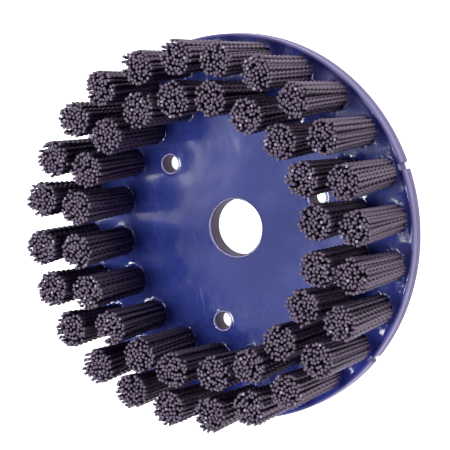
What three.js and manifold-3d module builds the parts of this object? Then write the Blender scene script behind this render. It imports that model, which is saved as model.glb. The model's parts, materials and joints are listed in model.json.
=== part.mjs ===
// Disc brush with abrasive-nylon tufts, for a flat-face spindle drive.
//
// A rigid core plate carries the bore, the drive-pin holes and two rings of
// blind pockets. A glossy blue resin casting covers its face and the front half
// of its rim, and each pocket holds one round tuft of crimped filament.
//
// Millimetres. +Z is the spindle axis and points out of the bristle side. The
// origin is the centre of the bore, on the flat back face.

import * as THREE from 'three';
import { mergeVertices } from 'three/addons/utils/BufferGeometryUtils.js';
import Module from 'manifold-3d';

const wasm = await Module();
wasm.setup();

// ---- driving dimensions ------------------------------------------------------

const INCH = 25.4;
const DISC_RADIUS = 3 * INCH;
const BACK_CHAMFER = 1.0;
const FACE_HEIGHT = 7.0;
const CASTING_THICKNESS = 1.0;
const GAP = 0.3; // running gap left between neighbouring solids

const BORE_RADIUS = 7 / 16 * INCH;
const BORE_LIP_RADIUS = 11.9; // where the casting's rounded lip meets its face
const BORE_EASE = 0.35; // how far the casting's bore stands back from the core's

const PIN_COUNT = 3;
const PIN_CIRCLE_RADIUS = 1.5 * INCH;
const PIN_RADIUS = INCH / 8;
const PIN_LIP_RADIUS = 3.75;
const PIN_START = Math.PI / 2;

const SKIRT_THICKNESS = 0.7; // casting wall round the rim
const SKIRT_BOTTOM = 4.1;
const RIM_ROUND = 1.0; // radius of the casting's outer front edge
const RIM_LIP_HEIGHT = 0.45; // low bead left by the mould just inside the rim
const RIM_LIP_WIDTH = 2.3;

const NOTCH_WIDTH = 2.7; // slots cut across the whole rim, in two pairs
const NOTCH_DEPTH = 1.5;
const NOTCH_ANGLES = [30, 150, 210, 330].map(THREE.MathUtils.degToRad);

const OUTER_RING = { name: 'outer_tuft', count: 24, radius: 68.2 };
const INNER_RING = { name: 'inner_tuft', count: 20, radius: 52.8 };
const TRIM_LENGTH = 35.3; // filament standing out of the face
const TUFT_ROOT_RADIUS = 5.7;
const TUFT_TIP_RADIUS = 7.0;
const POCKET_FLOOR = 1.6;

// ---- facets ------------------------------------------------------------------

const DISC_SIDES = 96;
const PIN_SIDES = 24;
const TUFT_SIDES = 12;
const EDGE_STEPS = 4;

// ---- derived sizes -----------------------------------------------------------

const CASTING_BOTTOM = FACE_HEIGHT - CASTING_THICKNESS;
const CORE_TOP = CASTING_BOTTOM - GAP;
const CORE_LEDGE = SKIRT_BOTTOM - GAP;
const SKIRT_INNER_RADIUS = DISC_RADIUS - SKIRT_THICKNESS;
const CORE_STEP_RADIUS = SKIRT_INNER_RADIUS - GAP;
const POCKET_RADIUS = TUFT_ROOT_RADIUS + GAP / Math.cos(Math.PI / TUFT_SIDES);
const TUFT_BOTTOM = POCKET_FLOOR + GAP;
const TUFT_TOP = FACE_HEIGHT + TRIM_LENGTH;
const CUT_TOP = FACE_HEIGHT + 2;

// ---- materials ---------------------------------------------------------------

const coreMaterial = new THREE.MeshStandardMaterial({
  color: 0x8a7f88,
  roughness: 0.8,
  metalness: 0,
});
const castingMaterial = new THREE.MeshStandardMaterial({
  color: 0x2b3a86,
  roughness: 0.18,
  metalness: 0,
});
const filamentMaterial = new THREE.MeshStandardMaterial({
  color: 0x7f7484,
  roughness: 0.7,
  metalness: 0,
});

// ---- solids ------------------------------------------------------------------

/** A closed three.js geometry as a solid that can be cut. */
function toSolid(geometry) {
  const bare = geometry.clone();
  bare.deleteAttribute('normal');
  bare.deleteAttribute('uv');
  const merged = mergeVertices(bare, 1e-4);
  const solidMesh = new wasm.Mesh({
    numProp: 3,
    vertProperties: new Float32Array(merged.attributes.position.array),
    triVerts: new Uint32Array(merged.index.array),
  });
  return new wasm.Manifold(solidMesh);
}

/** A solid as a flat-shaded three.js geometry. */
function toGeometry(solid) {
  const { vertProperties, triVerts } = solid.getMesh();
  const geometry = new THREE.BufferGeometry();
  geometry.setAttribute('position', new THREE.BufferAttribute(vertProperties, 3));
  geometry.setIndex(new THREE.BufferAttribute(triVerts, 1));
  geometry.computeVertexNormals();
  return geometry;
}

/** Turns a profile of [radius, height] points about +Z. */
function turned(profile, sides) {
  const points = profile.map(([radius, height]) => new THREE.Vector2(radius, height));
  return new THREE.LatheGeometry(points, sides).rotateX(Math.PI / 2);
}

/** A straight round cutter standing on z = bottom, centred on the Z axis. */
function roundCutter(radius, bottom, sides) {
  const length = CUT_TOP - bottom;
  return new THREE.CylinderGeometry(radius, radius, length, sides)
    .rotateX(Math.PI / 2)
    .translate(0, 0, bottom + length / 2);
}

/** A copy of a geometry moved out along +X and then swung about Z. */
function placedAt(geometry, radius, angle) {
  return geometry.clone().translate(radius, 0, 0).rotateZ(angle);
}

/** The angles of a ring of equally spaced features. */
function ringAngles(count, start = 0) {
  return Array.from({ length: count }, (_, index) => start + (index * 2 * Math.PI) / count);
}

/** Cuts one cutter out of a solid at each angle of a ring. */
function cutRing(solid, cutter, radius, angles) {
  return angles.reduce(
    (body, angle) => body.subtract(toSolid(placedAt(cutter, radius, angle))),
    solid,
  );
}

/** Cuts the tuft pockets or holes of both rings, down to z = bottom. */
function cutTuftHoles(solid, bottom) {
  const cutter = roundCutter(POCKET_RADIUS, bottom, TUFT_SIDES);
  return [OUTER_RING, INNER_RING].reduce(
    (body, ring) => cutRing(body, cutter, ring.radius, ringAngles(ring.count)),
    solid,
  );
}

/** Cuts the notches out of the rim. */
function cutNotches(solid) {
  const cutter = new THREE.BoxGeometry(2 * NOTCH_DEPTH, NOTCH_WIDTH, 3 * FACE_HEIGHT);
  return cutRing(solid, cutter, DISC_RADIUS, NOTCH_ANGLES);
}

// ---- core plate --------------------------------------------------------------

/** The rigid plate: chamfered back edge, ledge for the casting, all the holes. */
function makeCorePlate() {
  const blank = turned([
    [BORE_RADIUS, 0],
    [DISC_RADIUS - BACK_CHAMFER, 0],
    [DISC_RADIUS, BACK_CHAMFER],
    [DISC_RADIUS, CORE_LEDGE],
    [CORE_STEP_RADIUS, CORE_LEDGE],
    [CORE_STEP_RADIUS, CORE_TOP],
    [BORE_RADIUS, CORE_TOP],
    [BORE_RADIUS, 0],
  ], DISC_SIDES);
  const pinDrill = roundCutter(PIN_RADIUS, -1, PIN_SIDES);
  let plate = toSolid(blank);
  plate = cutTuftHoles(plate, POCKET_FLOOR);
  plate = cutRing(plate, pinDrill, PIN_CIRCLE_RADIUS, ringAngles(PIN_COUNT, PIN_START));
  return toGeometry(cutNotches(plate));
}

// ---- face casting ------------------------------------------------------------

/** The rounded outer front edge of the casting, from its lip down to the wall. */
function rimRound() {
  const centreRadius = DISC_RADIUS - RIM_ROUND;
  const centreHeight = FACE_HEIGHT + RIM_LIP_HEIGHT - RIM_ROUND;
  return Array.from({ length: EDGE_STEPS + 1 }, (_, step) => {
    const turn = (Math.PI / 2) * (step / EDGE_STEPS);
    return [
      centreRadius + RIM_ROUND * Math.cos(turn),
      centreHeight + RIM_ROUND * Math.sin(turn),
    ];
  });
}

/** The blue resin skin over the face, with its skirt round the rim. */
function makeFaceCasting() {
  const blank = turned([
    [BORE_RADIUS + BORE_EASE, CASTING_BOTTOM],
    [SKIRT_INNER_RADIUS, CASTING_BOTTOM],
    [SKIRT_INNER_RADIUS, SKIRT_BOTTOM],
    [DISC_RADIUS, SKIRT_BOTTOM],
    ...rimRound(),
    [DISC_RADIUS - RIM_LIP_WIDTH, FACE_HEIGHT],
    [BORE_LIP_RADIUS, FACE_HEIGHT],
    [BORE_RADIUS + BORE_EASE, CASTING_BOTTOM],
  ], DISC_SIDES);
  const pinDrill = roundCutter(PIN_LIP_RADIUS, -1, PIN_SIDES);
  let casting = toSolid(blank);
  casting = cutTuftHoles(casting, -1);
  casting = cutRing(casting, pinDrill, PIN_CIRCLE_RADIUS, ringAngles(PIN_COUNT, PIN_START));
  return toGeometry(cutNotches(casting));
}

// ---- tufts -------------------------------------------------------------------

/** The envelope of one tuft: a straight root and a bundle that spreads a little. */
function makeTuft() {
  return turned([
    [0, TUFT_BOTTOM],
    [TUFT_ROOT_RADIUS, TUFT_BOTTOM],
    [TUFT_ROOT_RADIUS, FACE_HEIGHT],
    [TUFT_TIP_RADIUS, TUFT_TOP],
    [0, TUFT_TOP],
  ], TUFT_SIDES);
}

/** A ring of separate tufts, named by their number round the ring. */
function makeTuftRing({ name, count, radius }, geometry) {
  const ring = new THREE.Group();
  ringAngles(count).forEach((angle, index) => {
    const tuft = new THREE.Mesh(geometry, filamentMaterial);
    tuft.name = `${name}_${String(index + 1).padStart(2, '0')}`;
    tuft.position.set(radius * Math.cos(angle), radius * Math.sin(angle), 0);
    tuft.rotation.z = angle;
    ring.add(tuft);
  });
  return ring;
}

// ---- assembly ----------------------------------------------------------------

const corePlate = new THREE.Mesh(makeCorePlate(), coreMaterial);
corePlate.name = 'core_plate';

const faceCasting = new THREE.Mesh(makeFaceCasting(), castingMaterial);
faceCasting.name = 'face_casting';

const tuftGeometry = makeTuft();

const group = new THREE.Group();
group.add(corePlate);
group.add(faceCasting);
group.add(makeTuftRing(OUTER_RING, tuftGeometry));
group.add(makeTuftRing(INNER_RING, tuftGeometry));

export default group;
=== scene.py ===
"""Looks of a disc brush: a potted plate with two rings of crimped abrasive filament.

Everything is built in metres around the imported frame. Lengths written below are in
millimetres and go through MM. +Z is the spindle axis, out of the bristle side.
"""

import json
import math

import bpy
import numpy as np
from mathutils import Matrix, Vector
from mathutils.geometry import delaunay_2d_cdt


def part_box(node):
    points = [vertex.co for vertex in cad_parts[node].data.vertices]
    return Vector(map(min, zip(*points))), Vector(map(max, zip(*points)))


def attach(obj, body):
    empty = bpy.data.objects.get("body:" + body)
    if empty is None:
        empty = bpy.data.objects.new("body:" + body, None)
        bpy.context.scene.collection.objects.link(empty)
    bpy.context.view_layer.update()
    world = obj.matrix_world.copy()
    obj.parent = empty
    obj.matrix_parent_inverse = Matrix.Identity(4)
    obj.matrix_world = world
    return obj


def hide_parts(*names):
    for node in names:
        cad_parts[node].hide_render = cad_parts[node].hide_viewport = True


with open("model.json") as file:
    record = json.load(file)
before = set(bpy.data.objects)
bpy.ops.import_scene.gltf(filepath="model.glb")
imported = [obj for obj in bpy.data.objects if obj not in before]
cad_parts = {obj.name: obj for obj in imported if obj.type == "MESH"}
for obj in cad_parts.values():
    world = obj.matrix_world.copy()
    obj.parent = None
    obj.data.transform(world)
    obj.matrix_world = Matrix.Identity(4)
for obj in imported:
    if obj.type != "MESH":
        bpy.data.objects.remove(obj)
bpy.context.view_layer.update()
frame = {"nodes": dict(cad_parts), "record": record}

MM = 0.001
SEED = 20260

# ---- sizes taken from the frame ----------------------------------------------

CORE_LOW, CORE_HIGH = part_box("core_plate")
CAST_LOW, CAST_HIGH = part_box("face_casting")
TUFT_LOW, TUFT_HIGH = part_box("outer_tuft_01")

DISC_RADIUS = CORE_HIGH.x / MM
RIM_LIP_HEIGHT = 0.45
FACE_Z = CAST_HIGH.z / MM - RIM_LIP_HEIGHT
SKIRT_BOTTOM_Z = CAST_LOW.z / MM
TUFT_FLOOR_Z = TUFT_LOW.z / MM
TUFT_TOP_Z = TUFT_HIGH.z / MM


def opening_centre(name):
    """The middle of one of the record's stated openings, in millimetres."""
    for opening in frame["record"]["physics"]["openings"]:
        if opening["name"] == name:
            low, high = opening["box_m"]
            return np.array([low[axis] + high[axis] for axis in (0, 1)]) / 2 / MM
    raise ValueError(name)


def node_centre(node):
    """The middle of a CAD node in plan, in millimetres."""
    low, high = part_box(node)
    return np.array([low.x + high.x, low.y + high.y]) / 2 / MM


TUFT_NODES = sorted(name for name in frame["nodes"] if "_tuft_" in name)
TUFT_CENTRES = np.array([node_centre(name) for name in TUFT_NODES])
PIN_CENTRES = [opening_centre(f"drive_pin_hole_{number}") for number in (1, 2, 3)]

# ---- sizes of the finer shapes -----------------------------------------------

CAST_BOTTOM_Z = FACE_Z - 1.0
CORE_TOP_Z = CAST_BOTTOM_Z - 0.02
CORE_LEDGE_Z = SKIRT_BOTTOM_Z - 0.02
SKIRT_THICKNESS = 0.7
RIM_ROUND = 1.0
RIM_LIP_WIDTH = 1.3
NOTCH_ANGLES = np.radians([30, 150, 210, 330])
NOTCH_WIDTH = 2.7
NOTCH_DEPTH = 1.5
NOTCH_SHOULDER = 0.3

BORE_RADIUS = 11.1125
BORE_EDGE_RADIUS = BORE_RADIUS + 0.85  # where the resin's face turns down into the bore
BORE_EDGE_ROUND = 0.5
PIN_RADIUS = 3.175
PIN_EDGE_RADIUS = 4.25  # the same edge at a pin hole
PIN_EDGE_ROUND = 0.72
TUFT_HOLE_RADIUS = 5.4  # a little tighter than the bundle, so the resin meets the filaments
POCKET_RADIUS = 5.95
POCKET_FLOOR_Z = 1.6
BACK_EDGE_BREAK = 0.35  # bevel of the core's holes at the back face
TOOL_RING_DEPTH = 0.05

BORE_SIDES = 144
PIN_SIDES = 48
TUFT_HOLE_SIDES = 60
POCKET_SIDES = 48
EDGE_STEPS = 6

FILAMENT_COUNT = 62
FILAMENT_RADIUS = 0.635
ROOT_RING_RADIUS = 5.05
TIP_RING_RADIUS = 6.35
FILAMENT_SIDES = 8
RING_STEP = 0.62
CRIMP_PERIOD = 3.6
CRIMP_HEIGHT = 0.28


# ---- mesh building -----------------------------------------------------------


class Shell:
    """Collects the points and faces of one mesh, in millimetres."""

    def __init__(self):
        self.points = []
        self.faces = []
        self.count = 0

    def add(self, plan, height):
        """Adds points given in plan with a height each; returns their numbers."""
        heights = np.broadcast_to(height, (len(plan),))
        self.points.append(np.column_stack([plan, heights]))
        numbers = np.arange(self.count, self.count + len(plan))
        self.count += len(plan)
        return numbers

    def wall(self, upper, lower, inside=False):
        """Joins two closed loops of points, faces out, or in where it is a hole's wall."""
        upper_next = np.roll(upper, -1)
        lower_next = np.roll(lower, -1)
        corners = [upper, lower, lower_next, upper_next]
        if inside:
            corners = corners[::-1]
        self.faces.extend(np.column_stack(corners).tolist())

    def sheet(self, triangles, numbers, down=False):
        """Adds triangles over numbered points, facing up or down."""
        faces = numbers[triangles]
        if down:
            faces = faces[:, ::-1]
        self.faces.extend(faces.tolist())

    def cap(self, loop, down=False):
        """Closes one loop with a single face."""
        face = loop[::-1] if down else loop
        self.faces.append(face.tolist())

    def build(self, name, material, sharp_angle=40):
        """The finished object, smooth shaded apart from its sharp edges."""
        mesh = bpy.data.meshes.new(name)
        points = np.concatenate(self.points) * MM
        mesh.from_pydata(points.tolist(), [], self.faces)
        mesh.shade_smooth()
        mesh.set_sharp_from_angle(angle=math.radians(sharp_angle))
        return link_object(name, mesh, material)


def link_object(name, mesh, material):
    """A new object for a mesh and its material, put into the scene."""
    mesh.materials.append(material)
    piece = bpy.data.objects.new(name, mesh)
    bpy.context.scene.collection.objects.link(piece)
    return piece


def add_value(mesh, name, domain, values):
    """Stores one number for each point or face of a mesh, for its material."""
    mesh.attributes.new(name, "FLOAT", domain).data.foreach_set("value", values)


def circle(centre, radius, count):
    """Points of a circle in plan, anticlockwise."""
    turn = 2 * np.pi * np.arange(count) / count
    return np.asarray(centre) + radius * np.column_stack([np.cos(turn), np.sin(turn)])


def triangulate(points, loops, keep):
    """Delaunay triangles over points in plan, with the loops as edges.

    loops are lists of point numbers; keep(middles) says which triangles stay.
    """
    edges = []
    for loop in loops:
        edges.extend(zip(loop.tolist(), np.roll(loop, -1).tolist()))
    vectors = [Vector((x, y)) for x, y in points]
    out_points, _, out_faces, origins, _, _ = delaunay_2d_cdt(vectors, edges, [], 0, 1e-6)
    source = np.array([origin[0] if origin else -1 for origin in origins])
    if (source < 0).any() or len(out_points) != len(points):
        raise ValueError("the loops cross each other or two points coincide")
    triangles = source[np.array(out_faces)]
    corner = points[triangles]
    triangles = triangles[keep(corner.mean(axis=1))]
    corner = points[triangles]
    first = corner[:, 1] - corner[:, 0]
    second = corner[:, 2] - corner[:, 0]
    clockwise = first[:, 0] * second[:, 1] < first[:, 1] * second[:, 0]
    triangles[clockwise] = triangles[clockwise][:, ::-1]
    return triangles


def smooth_step(value):
    """0 below 0, 1 above 1, and a smooth rise in between."""
    value = np.clip(value, 0, 1)
    return value * value * (3 - 2 * value)


# ---- rim outline -------------------------------------------------------------


def rim_angles():
    """Angles round the rim, closer together at the shoulders of the notches."""
    even = np.arange(0, 2 * np.pi, 2 * np.pi / 600)
    near = (np.arange(-2.2, 2.21, 0.1) + 0.01) / DISC_RADIUS
    extra = (NOTCH_ANGLES[:, None] + near[None, :]).ravel()
    gap = np.abs((even[:, None] - NOTCH_ANGLES[None, :] + np.pi) % (2 * np.pi) - np.pi)
    even = even[gap.min(axis=1) > 2.4 / DISC_RADIUS]
    return np.sort(np.concatenate([even, extra % (2 * np.pi)]))


def notch_share(angles):
    """1 in a notch, 0 on the plain rim, and a slope at each shoulder."""
    away = np.abs((angles[:, None] - NOTCH_ANGLES[None, :] + np.pi) % (2 * np.pi) - np.pi)
    along = away.min(axis=1) * DISC_RADIUS
    return smooth_step((NOTCH_WIDTH / 2 + NOTCH_SHOULDER / 2 - along) / NOTCH_SHOULDER)


RIM_ANGLES = rim_angles()
RIM_DIRECTIONS = np.column_stack([np.cos(RIM_ANGLES), np.sin(RIM_ANGLES)])
IN_NOTCH = notch_share(RIM_ANGLES)
RIM_WALL = DISC_RADIUS - NOTCH_DEPTH * IN_NOTCH
CAST_ROUND = RIM_ROUND - 0.7 * IN_NOTCH
LIP_EDGE = RIM_WALL - CAST_ROUND


def rim_loop(radius):
    """A loop round the rim at one radius for each rim angle."""
    return RIM_DIRECTIONS * np.asarray(radius)[..., None]


def depth_inside(plan, radii):
    """How far each point lies inside a rim loop of the given radii."""
    angles = np.arctan2(plan[:, 1], plan[:, 0])
    limit = np.interp(angles, RIM_ANGLES, radii, period=2 * np.pi)
    return limit - np.linalg.norm(plan, axis=1)


# ---- resin surface -----------------------------------------------------------

wave_dice = np.random.default_rng(SEED)
WAVES = [
    {
        "direction": wave_dice.uniform(0, np.pi),
        "length": wave_dice.uniform(12, 36),
        "phase": wave_dice.uniform(0, 2 * np.pi),
        "height": wave_dice.uniform(0.002, 0.008),
    }
    for _ in range(14)
]
MENISCUS_PHASES = wave_dice.uniform(0, 2 * np.pi, (len(TUFT_CENTRES), 3))
MENISCUS_HEIGHTS = wave_dice.uniform(0.3, 0.55, len(TUFT_CENTRES))
MENISCUS_REACH = 0.45
MENISCUS_LIMIT = 0.75
LIP_PHASES = wave_dice.uniform(0, 2 * np.pi, 3)
MOUND_COUNT = 24
MOUND_SPREAD = 1.7
MOUND_RADIUS = 72.6
MOUND_HEIGHT = 0.62
MOUND_SIDE = math.radians(142)  # the side of the disc where the mounds are highest
MOUND_JITTER = wave_dice.normal(0, 1, (MOUND_COUNT, 3))


def resin_height(plan):
    """The height of the cast face at points in plan, in millimetres."""
    height = np.full(len(plan), FACE_Z)
    for wave in WAVES:
        along = plan[:, 0] * math.cos(wave["direction"]) + plan[:, 1] * math.sin(wave["direction"])
        height += wave["height"] * np.sin(2 * np.pi * along / wave["length"] + wave["phase"])
    height += rim_lip(plan) + meniscus(plan) + pin_beads(plan) + rim_mounds(plan)
    return height


def rim_lip(plan):
    """The low bead just inside the rim, on resin that swells up towards it."""
    angles = np.arctan2(plan[:, 1], plan[:, 0])
    inward = np.maximum(depth_inside(plan, LIP_EDGE), 0)
    uneven = sum(np.sin(count * angles + phase) for count, phase in zip((5, 11, 19), LIP_PHASES))
    bead = 0.2 * (1 + 0.06 * uneven) * (1 - smooth_step(inward / RIM_LIP_WIDTH))
    swell = 0.34 * (1 + 0.15 * uneven) * np.exp(-inward / 2.6)
    return bead + swell


def meniscus(plan):
    """The resin drawn up round the root of each tuft."""
    offset = plan[:, None, :] - TUFT_CENTRES[None, :, :]
    away = np.maximum(np.linalg.norm(offset, axis=2) - TUFT_HOLE_RADIUS, 0)
    turn = np.arctan2(offset[:, :, 1], offset[:, :, 0])
    uneven = sum(
        np.sin(count * turn + MENISCUS_PHASES[:, index])
        for index, count in enumerate((3, 8, 17))
    )
    rise = MENISCUS_HEIGHTS * (1 + 0.4 * uneven) * np.exp(-away / MENISCUS_REACH)
    return np.minimum(rise.sum(axis=1), MENISCUS_LIMIT)


def pin_beads(plan):
    """The raised ring of resin round each drive-pin hole."""
    rise = np.zeros(len(plan))
    for centre in PIN_CENTRES:
        away = np.linalg.norm(plan - centre, axis=1) - PIN_EDGE_RADIUS
        rise += 0.13 * np.exp(-((away / 0.38) ** 2))
    return rise


def rim_mounds(plan):
    """Resin piled up in the gaps of the outer ring, most of it on one side of the disc."""
    rise = np.zeros(len(plan))
    for number, (turned, outward, size) in enumerate(MOUND_JITTER):
        angle = 2 * np.pi * (number + 0.5 + 0.06 * turned) / MOUND_COUNT
        radius = MOUND_RADIUS + 0.4 * outward
        side = 0.5 + 0.5 * math.cos(angle - MOUND_SIDE)
        height = MOUND_HEIGHT * (1 + 0.15 * size) * side ** 1.5
        offset = plan - radius * np.array([math.cos(angle), math.sin(angle)])
        away = np.linalg.norm(offset, axis=1) / MOUND_SPREAD
        rise += height * np.exp(-0.5 * away ** 2)
    return rise


def collar(plan):
    """1 at the edge of a tuft's hole, fading to 0 a few millimetres out."""
    offset = plan[:, None, :] - TUFT_CENTRES[None, :, :]
    away = np.linalg.norm(offset, axis=2).min(axis=1) - TUFT_HOLE_RADIUS
    return np.exp(-np.maximum(away, 0) / 1.6)


def far_from(plan, centres, distance):
    """Which points are further than a distance from every centre."""
    offset = plan[:, None, :] - np.asarray(centres)[None, :, :]
    return np.linalg.norm(offset, axis=2).min(axis=1) > distance


def face_points():
    """Plan points over the face between its loops: rings round holes, rim rows, a grid."""
    tuft_rows = [
        circle(centre, TUFT_HOLE_RADIUS + offset, TUFT_HOLE_SIDES)
        for centre in TUFT_CENTRES
        for offset in (0.11, 0.24, 0.42, 0.68, 1.05)
    ]
    pin_rows = [
        circle(centre, PIN_EDGE_RADIUS + offset, PIN_SIDES)
        for centre in PIN_CENTRES
        for offset in (0.15, 0.32, 0.55, 0.9)
    ]
    bore_rows = [circle((0, 0), BORE_RADIUS + offset, BORE_SIDES) for offset in (1.15, 1.5)]
    tuft_rows = np.concatenate(tuft_rows)
    nearest = far_from(tuft_rows, TUFT_CENTRES, TUFT_HOLE_RADIUS + 0.1)
    tuft_rows = tuft_rows[(depth_inside(tuft_rows, LIP_EDGE) > 0.1) & nearest]
    offsets = (0.2, 0.45, 0.75, 1.1, 1.5)
    rim_rows = np.concatenate([rim_loop(LIP_EDGE - offset) for offset in offsets])
    rim_rows = rim_rows[far_from(rim_rows, TUFT_CENTRES, TUFT_HOLE_RADIUS + 1.15)]
    step = 1.5
    across, up = np.meshgrid(np.arange(-76, 76, step), np.arange(-76, 76, step * 0.866))
    across[1::2] += step / 2
    grid = np.column_stack([across.ravel(), up.ravel()])
    grid = grid[depth_inside(grid, LIP_EDGE) > 2.2]
    grid = grid[far_from(grid, TUFT_CENTRES, TUFT_HOLE_RADIUS + 1.6)]
    grid = grid[far_from(grid, PIN_CENTRES, 5.9)]
    grid = grid[far_from(grid, [(0, 0)], BORE_RADIUS + 2.3)]
    return np.concatenate([tuft_rows, *pin_rows, *bore_rows, rim_rows, grid])


def quarter_round(radius, steps):
    """(inward, down) steps from flat to upright over a rounded edge."""
    turns = np.linspace(0, np.pi / 2, steps + 1)[1:]
    return [(radius * math.sin(turn), radius * (1 - math.cos(turn))) for turn in turns]


def make_casting(material):
    """The resin skin: face with its fillets and beads, rounded openings, rim skirt."""
    shell = Shell()
    loops = [rim_loop(LIP_EDGE)]
    loops += [circle((0, 0), BORE_EDGE_RADIUS, BORE_SIDES)]
    loops += [circle(centre, PIN_EDGE_RADIUS, PIN_SIDES) for centre in PIN_CENTRES]
    loops += [circle(centre, TUFT_HOLE_RADIUS, TUFT_HOLE_SIDES) for centre in TUFT_CENTRES]
    plan = np.concatenate(loops + [face_points()])
    starts = np.cumsum([0] + [len(loop) for loop in loops])
    loop_numbers = [np.arange(start, end) for start, end in zip(starts[:-1], starts[1:])]

    def on_resin(middles):
        kept = far_from(middles, [(0, 0)], BORE_EDGE_RADIUS * 0.9995)
        kept &= far_from(middles, PIN_CENTRES, PIN_EDGE_RADIUS * 0.999)
        kept &= far_from(middles, TUFT_CENTRES, TUFT_HOLE_RADIUS * 0.999)
        return kept & (depth_inside(middles, LIP_EDGE) > -0.002)

    numbers = shell.add(plan, resin_height(plan))
    shell.sheet(triangulate(plan, loop_numbers, on_resin), numbers)
    top = np.concatenate(shell.points)
    under = []

    ring = loop_numbers[0]
    edge_height = top[ring, 2]
    for inward, down in quarter_round(1.0, EDGE_STEPS):
        radius = LIP_EDGE + CAST_ROUND * inward
        below = shell.add(rim_loop(radius), edge_height - CAST_ROUND * down)
        shell.wall(ring, below)
        ring = below
    skirt_bottom = SKIRT_BOTTOM_Z + (CAST_BOTTOM_Z - SKIRT_BOTTOM_Z) * IN_NOTCH
    for inward, rise in [(0, 0.25), (0.07, 0.07), (0.25, 0), (SKIRT_THICKNESS, 0)]:
        below = shell.add(rim_loop(RIM_WALL - inward), skirt_bottom + rise)
        shell.wall(ring, below)
        ring = below
    roof_radius = RIM_WALL - SKIRT_THICKNESS - 0.2 * IN_NOTCH
    roof = shell.add(rim_loop(roof_radius), CAST_BOTTOM_Z)
    shell.wall(ring, roof)
    under.append(roof)

    def sink(ring, centre, edge, round_radius, count):
        """Rounds the edge of an opening and takes its wall down to the underside."""
        height = top[ring, 2]
        for inward, down in quarter_round(round_radius, EDGE_STEPS):
            below = shell.add(circle(centre, edge - inward, count), height - down)
            shell.wall(ring, below, inside=True)
            ring = below
        below = shell.add(circle(centre, edge - round_radius, count), CAST_BOTTOM_Z)
        shell.wall(ring, below, inside=True)
        return below

    bore_ring = loop_numbers[1]
    under.append(sink(bore_ring, (0, 0), BORE_EDGE_RADIUS, BORE_EDGE_ROUND, BORE_SIDES))
    for ring, centre in zip(loop_numbers[2:5], PIN_CENTRES):
        under.append(sink(ring, centre, PIN_EDGE_RADIUS, PIN_EDGE_ROUND, PIN_SIDES))
    for ring, centre in zip(loop_numbers[5:], TUFT_CENTRES):
        below = shell.add(circle(centre, TUFT_HOLE_RADIUS, TUFT_HOLE_SIDES), CAST_BOTTOM_Z)
        shell.wall(ring, below, inside=True)
        under.append(below)

    def under_resin(middles):
        bore_wall = BORE_EDGE_RADIUS - BORE_EDGE_ROUND
        pin_wall = PIN_EDGE_RADIUS - PIN_EDGE_ROUND
        kept = far_from(middles, [(0, 0)], bore_wall * 0.9995)
        kept &= far_from(middles, PIN_CENTRES, pin_wall * 0.999)
        kept &= far_from(middles, TUFT_CENTRES, TUFT_HOLE_RADIUS * 0.999)
        return kept & (depth_inside(middles, roof_radius) > -0.002)

    close_flat(shell, under, under_resin, down=True)
    piece = shell.build("face_casting_resin", material)
    near_tuft = collar(np.concatenate(shell.points)[:, :2])
    add_value(piece.data, "collar", "POINT", near_tuft)
    return piece


def close_flat(shell, loops, keep, down):
    """Fills the flat between loops that already lie on one level."""
    numbers = np.concatenate(loops)
    plan = np.concatenate(shell.points)[numbers, :2]
    starts = np.cumsum([0] + [len(loop) for loop in loops])
    local = [np.arange(start, end) for start, end in zip(starts[:-1], starts[1:])]
    shell.sheet(triangulate(plan, local, keep), numbers, down)


# ---- core plate --------------------------------------------------------------


def turned_wall(shell, centre, radius, count, dice):
    """A hole's wall through the core: fine tool rings, and a bevel at the back face."""
    levels = np.linspace(CORE_TOP_Z, BACK_EDGE_BREAK, 26)
    ring = shell.add(circle(centre, radius, count), CORE_TOP_Z)
    first = ring
    for level in levels[1:]:
        cut = radius + TOOL_RING_DEPTH * dice.uniform(0, 1)
        below = shell.add(circle(centre, cut, count), level)
        shell.wall(ring, below, inside=True)
        ring = below
    below = shell.add(circle(centre, radius + BACK_EDGE_BREAK, count), 0.0)
    shell.wall(ring, below, inside=True)
    return first, below


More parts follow.
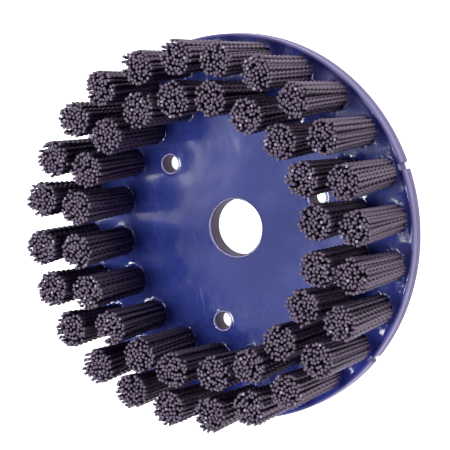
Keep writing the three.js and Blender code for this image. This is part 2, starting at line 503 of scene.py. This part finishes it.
def make_core(material):
    """The rigid plate: turned bore and pin holes, tuft pockets, notched rim."""
    dice = np.random.default_rng(SEED + 1)
    shell = Shell()
    off_notch = 1 - IN_NOTCH
    step_radius = RIM_WALL - 0.06 - (SKIRT_THICKNESS - 0.04) * off_notch
    ring = shell.add(rim_loop(step_radius), CORE_TOP_Z)
    upper, lower = [ring], []
    rim_profile = [
        (step_radius, CORE_LEDGE_Z),
        (RIM_WALL - 0.03 - 0.09 * off_notch, CORE_LEDGE_Z),
        (RIM_WALL, CORE_LEDGE_Z - 0.12),
        (RIM_WALL, 1.0),
        (RIM_WALL - 0.3, 0.3),
        (RIM_WALL - 1.0, 0.0),
    ]
    for radius, height in rim_profile:
        below = shell.add(rim_loop(radius), height)
        shell.wall(ring, below)
        ring = below
    lower.append(ring)
    holes = [((0, 0), BORE_RADIUS, BORE_SIDES)]
    holes += [(centre, PIN_RADIUS, PIN_SIDES) for centre in PIN_CENTRES]
    for centre, radius, count in holes:
        first, last = turned_wall(shell, centre, radius, count, dice)
        upper.append(first)
        lower.append(last)
    for centre in TUFT_CENTRES:
        mouth = shell.add(circle(centre, POCKET_RADIUS, POCKET_SIDES), CORE_TOP_Z)
        floor_ring = shell.add(circle(centre, POCKET_RADIUS, POCKET_SIDES), POCKET_FLOOR_Z)
        shell.wall(mouth, floor_ring, inside=True)
        shell.cap(floor_ring)
        upper.append(mouth)

    def on_top(middles):
        kept = far_from(middles, [(0, 0)], BORE_RADIUS * 0.9995)
        kept &= far_from(middles, PIN_CENTRES, PIN_RADIUS * 0.999)
        kept &= far_from(middles, TUFT_CENTRES, POCKET_RADIUS * 0.998)
        return kept & (depth_inside(middles, step_radius) > -0.002)

    def on_back(middles):
        kept = far_from(middles, [(0, 0)], (BORE_RADIUS + BACK_EDGE_BREAK) * 0.9995)
        kept &= far_from(middles, PIN_CENTRES, (PIN_RADIUS + BACK_EDGE_BREAK) * 0.999)
        return kept & (depth_inside(middles, RIM_WALL - 1.0) > -0.002)

    close_flat(shell, upper, on_top, down=False)
    close_flat(shell, lower, on_back, down=True)
    return shell.build("core_plate_turned", material, sharp_angle=15)


# ---- tufts -------------------------------------------------------------------


def spread_apart(points, spacing, limit, rounds):
    """Pushes points apart to a least spacing, within a circle of one radius."""
    points = points.copy()
    for _ in range(rounds):
        offset = points[:, None, :] - points[None, :, :]
        distance = np.linalg.norm(offset, axis=2)
        np.fill_diagonal(distance, np.inf)
        push = np.maximum(spacing - distance, 0) / distance
        points += 0.3 * (offset * push[:, :, None]).sum(axis=1)
        radius = np.linalg.norm(points, axis=1)
        outside = radius > limit
        points[outside] *= (limit / radius[outside])[:, None]
    return points


def root_packing(dice):
    """Places of the filaments in a pocket, packed nearly touching."""
    number = np.arange(FILAMENT_COUNT) + 0.5
    radius = ROOT_RING_RADIUS * np.sqrt(number / FILAMENT_COUNT)
    turn = number * math.radians(137.508) + dice.uniform(0, 2 * np.pi)
    points = np.column_stack([radius * np.cos(turn), radius * np.sin(turn)])
    points += dice.normal(0, 0.25, points.shape)
    return spread_apart(points, 1.26, ROOT_RING_RADIUS, 60)


def part_bundle(tips, turn, opening):
    """Opens a wedge in a bundle, from its middle out to its edge at one turn."""
    angle = np.arctan2(tips[:, 1], tips[:, 0])
    side = (angle - turn + np.pi) % (2 * np.pi) - np.pi
    radius = np.linalg.norm(tips, axis=1)
    pull = opening * np.clip(radius / TIP_RING_RADIUS, 0, 1) ** 1.5
    pull = pull * np.sign(side) * (1 - smooth_step(np.abs(side) / 1.4))
    across = np.column_stack([-np.sin(angle), np.cos(angle)])
    return tips + across * pull[:, None]


def tip_packing(roots, dice):
    """Places of the filament ends: looser, uneven, at times parted, with a few strays."""
    tips = roots * (TIP_RING_RADIUS / ROOT_RING_RADIUS)
    tips += dice.normal(0, 0.3, tips.shape)
    for _ in range(dice.choice([0, 0, 1, 1])):
        tips = part_bundle(tips, dice.uniform(-np.pi, np.pi), dice.uniform(0.4, 0.9))
    tips = spread_apart(tips, 1.31, TIP_RING_RADIUS, 40)
    radius = np.linalg.norm(tips, axis=1)
    edge = np.flatnonzero(radius > TIP_RING_RADIUS * 0.9)
    strays = dice.choice(edge, dice.integers(0, 4), replace=False)
    tips[strays] *= 1 + dice.uniform(0.04, 0.11, (len(strays), 1))
    return tips + dice.normal(0, 0.35, 2)


def crimp(heights, points, dice):
    """Sideways waves of each filament, nearly in step with its neighbours."""
    count = len(points)
    plane = dice.uniform(0, np.pi) + dice.normal(0, 0.3, count)
    slope = dice.uniform(0, 2 * np.pi)
    across = points @ np.array([math.cos(slope), math.sin(slope)])
    phase = dice.uniform(0, 2 * np.pi) + 0.7 * across + dice.normal(0, 0.4, count)
    period = CRIMP_PERIOD * dice.normal(1, 0.02, count)
    height = CRIMP_HEIGHT * dice.uniform(0.75, 1.2, count)
    grow = smooth_step((heights - FACE_Z + 1.5) / 3.0)
    wave = np.sin(2 * np.pi * heights[None, :] / period[:, None] + phase[:, None])
    wave *= height[:, None] * grow[None, :]
    return np.stack([wave * np.cos(plane)[:, None], wave * np.sin(plane)[:, None]], axis=2)


def filament_paths(dice):
    """Centre lines of one tuft's filaments, as filament x level x (x, y, z)."""
    roots = root_packing(dice)
    tips = tip_packing(roots, dice)
    levels = np.arange(FACE_Z - 0.8, TUFT_TOP_Z - 0.4, RING_STEP)
    levels = np.concatenate([[TUFT_FLOOR_Z], levels, [TUFT_TOP_Z]])
    share = np.clip((levels - FACE_Z) / (TUFT_TOP_Z - FACE_Z), 0, 1)
    share = share * (0.55 + 0.45 * share)
    plan = roots[:, None, :] + (tips - roots)[:, None, :] * share[None, :, None]
    plan = plan + crimp(levels, roots, dice)
    short = dice.normal(0, 0.13, FILAMENT_COUNT)
    cut_low = dice.random(FILAMENT_COUNT) < 0.03
    short = np.where(cut_low, -dice.uniform(0.5, 1.6, FILAMENT_COUNT), np.minimum(short, 0.25))
    stretch = smooth_step((levels - FACE_Z - 20) / (TUFT_TOP_Z - FACE_Z - 20))
    heights = levels[None, :] + short[:, None] * stretch[None, :]
    return np.concatenate([plan, heights[:, :, None]], axis=2)


def filament_rings(paths, dice):
    """Cross-sections round the centre lines, with a trimmed and slightly tilted end."""
    count = len(paths)
    turn = 2 * np.pi * np.arange(FILAMENT_SIDES) / FILAMENT_SIDES
    turn = turn[None, :] + dice.uniform(0, 2 * np.pi, (count, 1))
    section = np.stack([np.cos(turn), np.sin(turn)], axis=2)
    radius = FILAMENT_RADIUS * dice.normal(1, 0.03, (count, 1, 1, 1))
    plan = paths[:, :, None, :2] + radius * section[:, None, :, :]
    heights = np.broadcast_to(paths[:, :, None, 2:], plan.shape[:3] + (1,))
    rings = np.concatenate([plan, heights], axis=3)
    tilt = dice.normal(0, 0.12, (count, 1, 2))
    lean = (section * tilt * FILAMENT_RADIUS).sum(axis=2)
    rings[:, -1, :, 2] += lean - 0.06
    end = rings[:, -1:].copy()
    middle = end[..., :2].mean(axis=2, keepdims=True)
    end[..., :2] = middle + 0.93 * (end[..., :2] - middle)
    end[..., 2] += 0.06
    return np.concatenate([rings, end], axis=1)


def inner_share(rings, centre):
    """0 on the outside of a bundle and at its tip, up to 1 deep between the filaments; the mask of
    the painted shade there.
    """
    height = rings[..., 2]
    up = np.clip((height - FACE_Z) / (TUFT_TOP_Z - FACE_Z), 0, 1)
    outside = ROOT_RING_RADIUS + (TIP_RING_RADIUS - ROOT_RING_RADIUS) * up + FILAMENT_RADIUS
    radius = np.linalg.norm(rings[..., :2] - centre, axis=-1)
    inner = smooth_step((0.97 - radius / outside) / 0.25)
    return inner * smooth_step((TUFT_TOP_Z - height - 0.35) / 1.6)


def make_tuft(node, number, material):
    """One tuft as separate crimped filaments in one mesh."""
    dice = np.random.default_rng(SEED + 100 + number)
    rings = filament_rings(filament_paths(dice), dice)
    rings[..., :2] += TUFT_CENTRES[number]
    count, levels, sides, _ = rings.shape
    corner = np.arange(count * levels * sides).reshape(count, levels, sides)
    beside = np.roll(corner, -1, axis=2)
    quads = np.stack(
        [corner[:, :-1], beside[:, :-1], beside[:, 1:], corner[:, 1:]], axis=3
    ).reshape(-1, 4)
    caps = np.concatenate([corner[:, -1], corner[:, 0, ::-1]])
    name = f"{node}_filaments"
    mesh = bpy.data.meshes.new(name)
    mesh.vertices.add(corner.size)
    mesh.vertices.foreach_set("co", (rings * MM).astype(np.float32).ravel())
    loops = np.concatenate([quads.ravel(), caps.ravel()]).astype(np.int32)
    sizes = np.concatenate([np.full(len(quads), 4), np.full(len(caps), sides)])
    mesh.loops.add(len(loops))
    mesh.loops.foreach_set("vertex_index", loops)
    mesh.polygons.add(len(sizes))
    mesh.polygons.foreach_set("loop_start", (np.cumsum(sizes) - sizes).astype(np.int32))
    mesh.update(calc_edges=True)
    mesh.shade_smooth()
    mesh.set_sharp_from_angle(angle=math.radians(50))
    shade = np.repeat(dice.uniform(0, 1, count), levels * sides)
    add_value(mesh, "shade", "POINT", shade)
    add_value(mesh, "painted_gap_shade", "POINT", inner_share(rings, TUFT_CENTRES[number]).ravel())
    cut = np.zeros(len(sizes))
    cut[len(quads):len(quads) + count] = 1
    add_value(mesh, "cut", "FACE", cut)
    return link_object(name, mesh, material)


# ---- materials ---------------------------------------------------------------


def new_material(name):
    """An empty node material and its principled shader."""
    material = bpy.data.materials.new(name)
    material.use_nodes = True
    tree = material.node_tree
    return material, tree, tree.nodes["Principled BSDF"]


def add_node(tree, kind, inputs=None, **settings):
    """Adds a node; each input is a value, or a socket to link."""
    node = tree.nodes.new(kind)
    for key, value in settings.items():
        setattr(node, key, value)
    for key, value in (inputs or {}).items():
        connect(tree, node.inputs[key], value)
    return node


def connect(tree, target, value):
    """Gives a socket a value, or links another socket to it."""
    if isinstance(value, bpy.types.NodeSocket):
        tree.links.new(value, target)
    else:
        target.default_value = value


def noise(tree, place, scale, detail=4.0, roughness=0.55, distortion=0.0):
    """A noise texture's grey output at a scale per metre."""
    values = {"Vector": place, "Scale": scale, "Detail": detail}
    values.update({"Roughness": roughness, "Distortion": distortion})
    return add_node(tree, "ShaderNodeTexNoise", values).outputs["Fac"]


def ranged(tree, value, low, high, to_low=0.0, to_high=1.0):
    """Maps a value from one range to another, clamped."""
    values = {0: value, 1: low, 2: high, 3: to_low, 4: to_high}
    return add_node(tree, "ShaderNodeMapRange", values).outputs[0]


def mixed(tree, share, first, second):
    """A colour between two colours."""
    node = add_node(tree, "ShaderNodeMix", data_type="RGBA")
    for index, value in ((0, share), (6, first), (7, second)):
        connect(tree, node.inputs[index], value)
    return node.outputs[2]


def maths(tree, operation, first, second=0.0):
    """One arithmetic operation on two values."""
    values = {0: first, 1: second}
    return add_node(tree, "ShaderNodeMath", values, operation=operation).outputs[0]


def placed(tree, scale=(1, 1, 1), turn=0.0):
    """Object coordinates, turned about Z by degrees and then scaled for each axis."""
    place = add_node(tree, "ShaderNodeTexCoord").outputs["Object"]
    values = {"Vector": place, "Angle": math.radians(turn)}
    turned = add_node(tree, "ShaderNodeVectorRotate", values, rotation_type="Z_AXIS")
    values = {"Vector": turned.outputs[0], "Scale": scale}
    return add_node(tree, "ShaderNodeMapping", values).outputs[0]


def stored(tree, name):
    """A number that the mesh stores for each point or face."""
    return add_node(tree, "ShaderNodeAttribute", attribute_name=name).outputs["Fac"]


def plan_distance(tree, centre):
    """The distance in plan from a centre in millimetres, in millimetres."""
    place = placed(tree, (1000, 1000, 0))
    values = {0: place, 1: (centre[0], centre[1], 0)}
    node = add_node(tree, "ShaderNodeVectorMath", values, operation="DISTANCE")
    return node.outputs["Value"]


def bumped(tree, height, strength, distance):
    """A normal from a height value."""
    values = {"Height": height, "Strength": strength, "Distance": distance}
    return add_node(tree, "ShaderNodeBump", values).outputs[0]


def resin_material():
    """Cast blue resin: glossy and clouded, with scuffs, dust and paler patches near the rim,
    painted light on the +Y side near the rim, painted glints round the tuft roots, and painted
    shade and a painted highlight at the bore and pin edges.
    """
    material, tree, shader = new_material("cast_resin")
    place = placed(tree)
    cloud = ranged(tree, noise(tree, place, 26.0, 3.0), 0.35, 0.68)
    body = mixed(tree, cloud, (0.020, 0.034, 0.190, 1), (0.032, 0.050, 0.250, 1))
    mottle = ranged(tree, noise(tree, place, 210.0, 5.0, 0.62), 0.52, 0.8)
    body = mixed(tree, maths(tree, "MULTIPLY", mottle, 0.35), body, (0.060, 0.080, 0.32, 1))
    radius = plan_distance(tree, (0, 0))
    across = add_node(tree, "ShaderNodeSeparateXYZ", {0: place}).outputs["Y"]
    cured = ranged(tree, noise(tree, place, 520.0, 5.0, 0.7), 0.44, 0.64)
    cured = maths(tree, "MULTIPLY", cured, ranged(tree, radius, 24.0, 34.0, 0.0, 0.3))
    body = mixed(tree, cured, body, (0.070, 0.105, 0.360, 1))
    # Painted light: resin within about 10 mm of the rim turns a lighter blue on the +Y side,
    # standing in for light falling on that side.
    lit_side_mask = ranged(tree, across, 0.0, 0.035)
    painted_side_light = maths(tree, "MULTIPLY", ranged(tree, radius, 58.0, 68.0), lit_side_mask)
    body = mixed(tree, maths(tree, "MULTIPLY", painted_side_light, 0.75), body, (0.050, 0.075, 0.430, 1))
    streaks = noise(tree, placed(tree, (26, 320, 60), -113), 1.0, 6.0, 0.7, 0.8)
    patch = ranged(tree, noise(tree, place, 42.0, 2.0), 0.5, 0.68)
    scuff = maths(tree, "MULTIPLY", ranged(tree, streaks, 0.54, 0.74), patch)
    scuff = maths(tree, "MULTIPLY", scuff, ranged(tree, radius, 24.0, 34.0))
    body = mixed(tree, maths(tree, "MULTIPLY", scuff, 0.4), body, (0.16, 0.17, 0.36, 1))
    near_tuft = stored(tree, "collar")
    # Painted glints: the pale specks on the resin round each tuft root stand in for small
    # highlights on the meniscus.
    specks = ranged(tree, noise(tree, place, 1500.0, 2.0, 0.6), 0.60, 0.70)
    specks = maths(tree, "MULTIPLY", specks, ranged(tree, near_tuft, 0.1, 0.8))
    body = mixed(tree, maths(tree, "MULTIPLY", specks, 0.7), body, (0.30, 0.28, 0.48, 1))
    # Paler greyish-violet patches near the rim, strongest on the -Y side, with a rougher finish
    # where they lie.
    rim_pale_patches = ranged(tree, noise(tree, place, 190.0, 5.0, 0.7, 0.6), 0.40, 0.64)
    rim_pale_patches = maths(tree, "MULTIPLY", rim_pale_patches, ranged(tree, radius, 60.0, 72.0, 0.0, 0.7))
    rim_pale_patches = maths(tree, "MULTIPLY", rim_pale_patches, ranged(tree, across, -0.01, 0.03, 1.0, 0.1))
    body = mixed(tree, rim_pale_patches, body, (0.105, 0.090, 0.185, 1))
    on_skirt = ranged(tree, radius, 75.35, 75.65)
    dust = maths(tree, "MULTIPLY", on_skirt, ranged(tree, mottle, 0.0, 1.0, 0.75, 1.0))
    body = mixed(tree, dust, body, (0.165, 0.145, 0.285, 1))
    past_edge = maths(tree, "SUBTRACT", radius, BORE_RADIUS + 0.72)
    for centre in PIN_CENTRES:
        past_pin = maths(tree, "SUBTRACT", plan_distance(tree, centre), 4.15)
        past_edge = maths(tree, "MINIMUM", past_edge, past_pin)
    shaded = ranged(tree, past_edge, 0.2, 0.7, 0.7, 0.0)
    body = mixed(tree, shaded, body, (0.006, 0.009, 0.060, 1))
    # Painted highlight: a thin pale line along the rounded edges of the bore and pin holes, broken
    # up by noise.
    edge = ranged(tree, past_edge, -0.08, 0.08, 1.0, 0.0)
    highlight_breakup = ranged(tree, noise(tree, place, 700.0, 2.0), 0.3, 0.6, 0.6, 1.0)
    body = mixed(tree, maths(tree, "MULTIPLY", edge, highlight_breakup), body, (0.50, 0.47, 0.80, 1))
    connect(tree, shader.inputs["Base Color"], body)
    smear = ranged(tree, noise(tree, place, 60.0, 4.0), 0.35, 0.8, 0.06, 0.2)
    rough = maths(tree, "ADD", smear, maths(tree, "MULTIPLY", scuff, 0.3))
    rough = maths(tree, "ADD", rough, maths(tree, "MULTIPLY", rim_pale_patches, 0.2))
    rough = maths(tree, "ADD", rough, maths(tree, "MULTIPLY", dust, 0.4))
    connect(tree, shader.inputs["Roughness"], rough)
    ripple = noise(tree, place, 130.0, 2.0)
    peel = maths(tree, "MULTIPLY", noise(tree, place, 620.0, 3.0, 0.6), 0.35)
    peel = maths(tree, "MULTIPLY", peel, ranged(tree, radius, 24.0, 42.0))
    grain = maths(tree, "MULTIPLY", noise(tree, place, 1300.0, 2.0), near_tuft)
    height = maths(tree, "ADD", maths(tree, "ADD", ripple, peel), grain)
    connect(tree, shader.inputs["Normal"], bumped(tree, height, 0.25, 0.00025))
    return material


def core_material():
    """Machined filled composite: warm grey-brown with tool rings and specks."""
    material, tree, shader = new_material("turned_core")
    place = placed(tree)
    cloud = ranged(tree, noise(tree, place, 70.0, 4.0), 0.3, 0.7)
    body = mixed(tree, cloud, (0.062, 0.042, 0.080, 1), (0.100, 0.072, 0.125, 1))
    level = add_node(tree, "ShaderNodeSeparateXYZ", {0: place}).outputs["Z"]
    radius = plan_distance(tree, (0, 0))
    turned = {"X": radius, "Y": maths(tree, "MULTIPLY", cloud, 0.6)}
    turned["Z"] = maths(tree, "MULTIPLY", level, 2400.0)
    turned = add_node(tree, "ShaderNodeCombineXYZ", turned).outputs[0]
    rings = noise(tree, turned, 1.0, 3.0, 0.6)
    ring_share = ranged(tree, rings, 0.35, 0.7)
    body = mixed(tree, maths(tree, "MULTIPLY", ring_share, 0.35), body, (0.060, 0.048, 0.070, 1))
    specks = ranged(tree, noise(tree, place, 2600.0, 2.0, 0.5), 0.62, 0.72)
    body = mixed(tree, maths(tree, "MULTIPLY", specks, 0.45), body, (0.20, 0.17, 0.22, 1))
    on_rim = ranged(tree, radius, 74.3, 74.6, 0.0, 0.9)
    body = mixed(tree, on_rim, body, (0.165, 0.140, 0.265, 1))
    connect(tree, shader.inputs["Base Color"], body)
    connect(tree, shader.inputs["Roughness"], ranged(tree, rings, 0.3, 0.75, 0.5, 0.72))
    shader.inputs["Specular IOR Level"].default_value = 0.2
    height = maths(tree, "ADD", rings, maths(tree, "MULTIPLY", specks, 0.3))
    connect(tree, shader.inputs["Normal"], bumped(tree, height, 0.35, 0.0002))
    return material


def filament_material():
    """Abrasive nylon: mauve-grey, gritty, each filament its own shade, painted shade deep between
    the filaments, cut ends paler, partly their own colour and partly painted light.
    """
    material, tree, shader = new_material("abrasive_filament")
    place = placed(tree)
    shade = stored(tree, "shade")
    cut = stored(tree, "cut")
    body = mixed(tree, shade, (0.090, 0.063, 0.094, 1), (0.152, 0.110, 0.156, 1))
    grit = noise(tree, place, 2300.0, 3.0, 0.7)
    dark_grit = ranged(tree, grit, 0.30, 0.52, 0.55, 0.0)
    body = mixed(tree, dark_grit, body, (0.040, 0.028, 0.042, 1))
    pale_grit = ranged(tree, grit, 0.60, 0.72, 0.0, 0.5)
    body = mixed(tree, pale_grit, body, (0.26, 0.215, 0.26, 1))
    # Painted shade: darker deep between the filaments of a bundle, fading out near the tip.
    painted_gap_shade = maths(tree, "MULTIPLY", stored(tree, "painted_gap_shade"), 0.8)
    body = mixed(tree, painted_gap_shade, body, (0.016, 0.010, 0.024, 1))
    # Cut ends paler: partly the cut face's own colour, partly painted light on these up-facing
    # ends; a few ends are much paler still.
    body = mixed(tree, maths(tree, "MULTIPLY", cut, 0.42), body, (0.24, 0.20, 0.25, 1))
    bright = maths(tree, "MULTIPLY", cut, ranged(tree, shade, 0.96, 0.985))
    body = mixed(tree, bright, body, (0.42, 0.37, 0.43, 1))
    connect(tree, shader.inputs["Base Color"], body)
    connect(tree, shader.inputs["Roughness"], ranged(tree, grit, 0.3, 0.7, 0.42, 0.68))
    shader.inputs["Specular IOR Level"].default_value = 0.2
    connect(tree, shader.inputs["Normal"], bumped(tree, grit, 0.5, 0.00006))
    return material


def floor_material():
    """A pale floor that gives back a little light of its own, as a light table does."""
    material, tree, shader = new_material("pale_floor")
    place = placed(tree)
    tone = ranged(tree, noise(tree, place, 3.0, 2.0), 0.3, 0.7)
    body = mixed(tree, tone, (0.80, 0.80, 0.80, 1), (0.82, 0.82, 0.82, 1))
    connect(tree, shader.inputs["Base Color"], body)
    shader.inputs["Roughness"].default_value = 0.8
    shader.inputs["Specular IOR Level"].default_value = 0.0
    shader.inputs["Emission Color"].default_value = (1, 1, 1, 1)
    across = add_node(tree, "ShaderNodeSeparateXYZ", {0: place}).outputs["Y"]
    glow = ranged(tree, across, -0.12, 0.16, 1.0, 1.5)
    connect(tree, shader.inputs["Emission Strength"], glow)
    return material


# ---- the object --------------------------------------------------------------

resin = resin_material()
composite = core_material()
abrasive = filament_material()

casting = make_casting(resin)
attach(casting, "root")
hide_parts("face_casting")

core = make_core(composite)
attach(core, "root")
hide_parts("core_plate")

for number, node in enumerate(TUFT_NODES):
    tuft = make_tuft(node, number, abrasive)
    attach(tuft, "root")
    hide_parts(node)

# ---- floor, lights and camera ------------------------------------------------


def make_floor():
    """A wide flat floor, a hair below the disc so that no two faces coincide."""
    mesh = bpy.data.meshes.new("floor")
    reach = 4.0
    level = -0.1 * MM
    corners = [(-reach, -reach), (reach, -reach), (reach, reach), (-reach, reach)]
    mesh.from_pydata([(x, y, level) for x, y in corners], [], [(0, 1, 2, 3)])
    return link_object("floor", mesh, floor_material())


def direction(azimuth, elevation):
    """The unit vector to an azimuth and elevation in degrees."""
    across, up = math.radians(azimuth), math.radians(elevation)
    level = math.cos(up)
    return Vector((level * math.cos(across), level * math.sin(across), math.sin(up)))


def softbox(name, azimuth, elevation, distance, size, radiance):
    """A rectangular area light that faces the brush; radiance 1 looks white."""
    light = bpy.data.lights.new(name, "AREA")
    light.shape = "RECTANGLE"
    light.size, light.size_y = size
    light.energy = radiance * math.pi * size[0] * size[1]
    lamp = bpy.data.objects.new(name, light)
    towards = direction(azimuth, elevation)
    lamp.location = towards * distance
    lamp.rotation_euler = towards.to_track_quat("Z", "Y").to_euler()
    bpy.context.scene.collection.objects.link(lamp)


def make_world():
    """Studio surround: white up to a little above the horizon, dim violet overhead."""
    world = bpy.data.worlds.new("studio")
    bpy.context.scene.world = world
    world.use_nodes = True
    tree = world.node_tree
    place = add_node(tree, "ShaderNodeTexCoord").outputs["Generated"]
    height = add_node(tree, "ShaderNodeSeparateXYZ", {0: place}).outputs["Z"]
    share = ranged(tree, height, 0.12, 0.19)
    colour = mixed(tree, share, (1.0, 1.0, 1.0, 1), (0.055, 0.036, 0.190, 1))
    background = tree.nodes["Background"]
    connect(tree, background.inputs["Color"], colour)
    background.inputs["Strength"].default_value = 1.0


CAMERA_AZIMUTH = 203.08
CAMERA_ELEVATION = 60.59
CAMERA_ROLL = -102.49
CAMERA_DISTANCE = 0.7859
CAMERA_LENS = 159.7
AIM_RIGHT = -4.22 * MM
AIM_UP = 1.04 * MM


def make_camera():
    """The camera at the angle of the reference view."""
    data = bpy.data.cameras.new("camera")
    data.lens = CAMERA_LENS
    data.sensor_width = 36.0
    data.clip_start = 0.01
    camera = bpy.data.objects.new("camera", data)
    bpy.context.scene.collection.objects.link(camera)
    bpy.context.scene.camera = camera
    back = direction(CAMERA_AZIMUTH, CAMERA_ELEVATION)
    level_right = Vector((0, 0, 1)).cross(back).normalized()
    level_up = back.cross(level_right)
    roll = math.radians(CAMERA_ROLL)
    right = level_right * math.cos(roll) + level_up * math.sin(roll)
    up = back.cross(right)
    aim = Vector((0, 0, FACE_Z * MM)) + right * AIM_RIGHT + up * AIM_UP
    turn = Matrix((right, up, back)).transposed().to_4x4()
    camera.matrix_world = Matrix.Translation(aim + back * CAMERA_DISTANCE) @ turn


make_floor()
make_world()
softbox("key_overhead", 20.0, 79.0, 1.2, (0.36, 0.36), 22.0)
softbox("ceiling", 23.0, 75.5, 1.0, (0.7, 0.6), 1.1)
softbox("window", 10.0, 53.0, 0.9, (0.13, 0.13), 28.0)
softbox("side_lamp", 150.0, 16.0, 0.8, (0.3, 0.2), 5.0)
softbox("low_side", 250.0, 16.0, 0.8, (0.3, 0.2), 10.0)
make_camera()
bpy.context.scene.view_settings.view_transform = "Standard"
